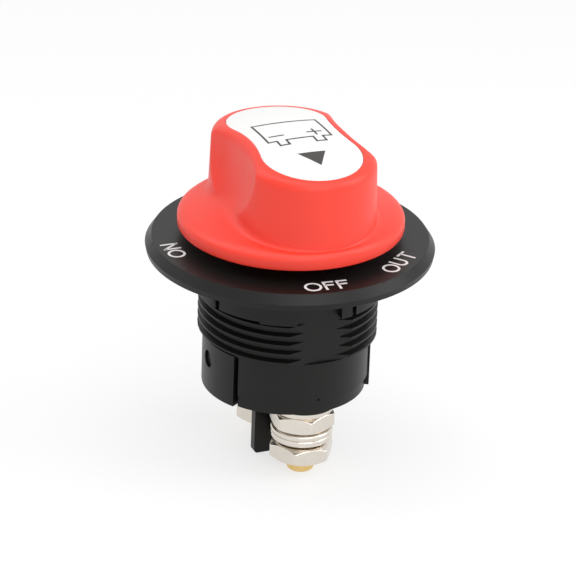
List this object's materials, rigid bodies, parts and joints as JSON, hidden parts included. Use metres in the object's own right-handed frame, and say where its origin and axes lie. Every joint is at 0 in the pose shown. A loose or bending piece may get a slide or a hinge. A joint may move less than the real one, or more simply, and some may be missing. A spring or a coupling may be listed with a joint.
{
  "type": "battery disconnect switch",
  "caption": "Round panel switch with a removable waisted key knob, a threaded barrel and two stud terminals with nuts and washers below.",
  "frame": {"origin": "On the switch axis, in the plane where the flange seats on the panel.", "axes": "+Z points out of the panel to the knob, -Y is the knob's pointer at OFF and the front stud, +X is to the right seen from the front with the knob up."},
  "size_m": [0.069, 0.069, 0.0835],
  "materials": {
    "black_plastic": "satin",
    "red_plastic": "semi-gloss",
    "label_white": "satin",
    "rotor_plastic": "matte",
    "ring_plastic": "matte",
    "seal_rubber": "matte",
    "stud_brass": "turned",
    "bridge_copper": "satin",
    "contact_silver": "satin",
    "plain_steel": "satin",
    "nickel_plate": "nickel plated, satin"
  },
  "bodies": {
    "base": {"housing": "black_plastic", "bottom_cover": "black_plastic", "cover_seal": "seal_rubber", "detent_ring": "ring_plastic", "stud_front": "stud_brass", "stud_rear": "stud_brass", "seat_washer_front": "nickel_plate", "seat_washer_rear": "nickel_plate", "lock_nut_front": "nickel_plate", "lock_nut_rear": "nickel_plate", "flat_washer_front": "nickel_plate", "flat_washer_rear": "nickel_plate", "spring_washer_front": "nickel_plate", "spring_washer_rear": "nickel_plate", "terminal_nut_front": "nickel_plate", "terminal_nut_rear": "nickel_plate"},
    "rotor": {"rotor": "rotor_plastic", "thrust_washer": "plain_steel", "shaft_seal": "seal_rubber", "detent_balls": "plain_steel", "detent_spring": "plain_steel", "contact_spring": "plain_steel", "contact_bridge": "bridge_copper", "contact_tips": "contact_silver"},
    "key": {"knob": "red_plastic", "knob_label": "label_white", "drive_stem": "plain_steel", "stem_screw": "plain_steel"}
  },
  "joints": [
    {"name": "knob_turn", "type": "hinge", "parent": "base", "child": "rotor", "pos_m": [0, 0, 0], "axis": [0, 0, 1], "range_deg": [-90, 45]},
    {"name": "knob_lift", "type": "slide", "parent": "rotor", "child": "key", "axis": [0, 0, 1], "range_m": [0, 0.018]}
  ]
}
